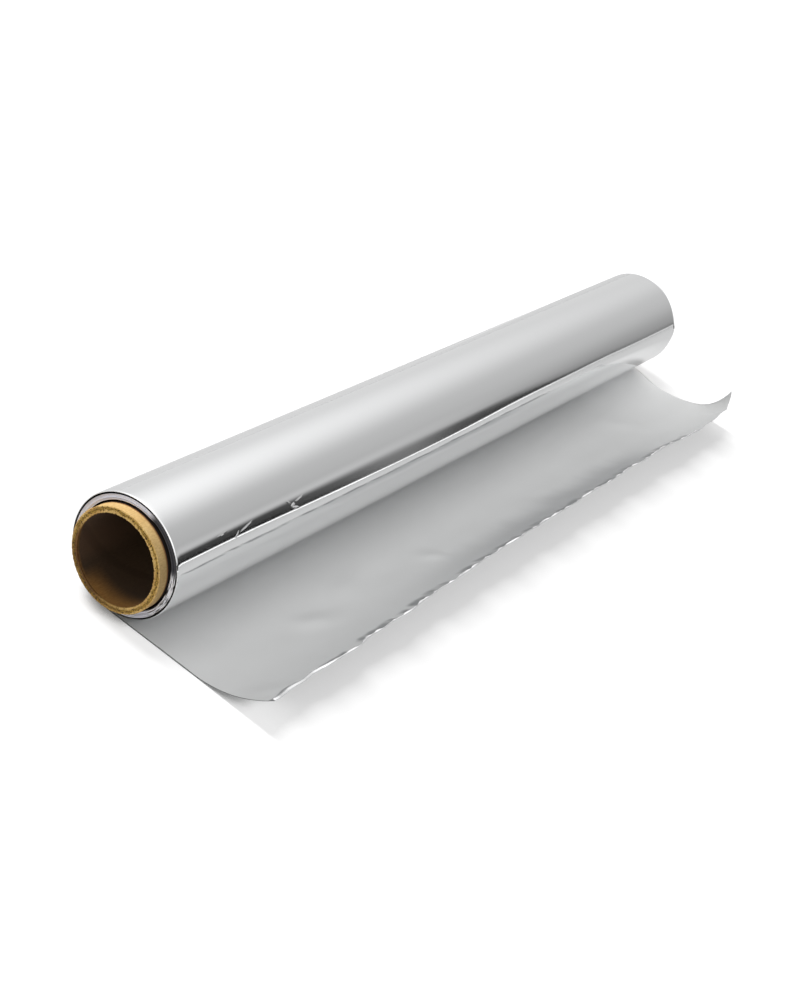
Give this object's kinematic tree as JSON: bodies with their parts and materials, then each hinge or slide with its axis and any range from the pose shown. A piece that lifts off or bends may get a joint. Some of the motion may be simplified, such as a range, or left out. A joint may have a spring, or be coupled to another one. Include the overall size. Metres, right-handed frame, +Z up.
{
  "type": "aluminium foil roll",
  "caption": "Household aluminium foil wound on a paperboard tube, with a short loose sheet that lies flat and curls up at its torn edge.",
  "frame": {"origin": "centre of the tube's bore, at the middle of its length", "axes": "+X along the roll, +Z up, and the loose sheet lies towards -Y"},
  "size_m": [0.3072, 0.0721, 0.035],
  "materials": {
    "paperboard": "matte kraft board",
    "foil": "bright outside, dull inside"
  },
  "bodies": {
    "root": {"core_tube": "paperboard", "foil": "foil"}
  },
  "joints": []
}
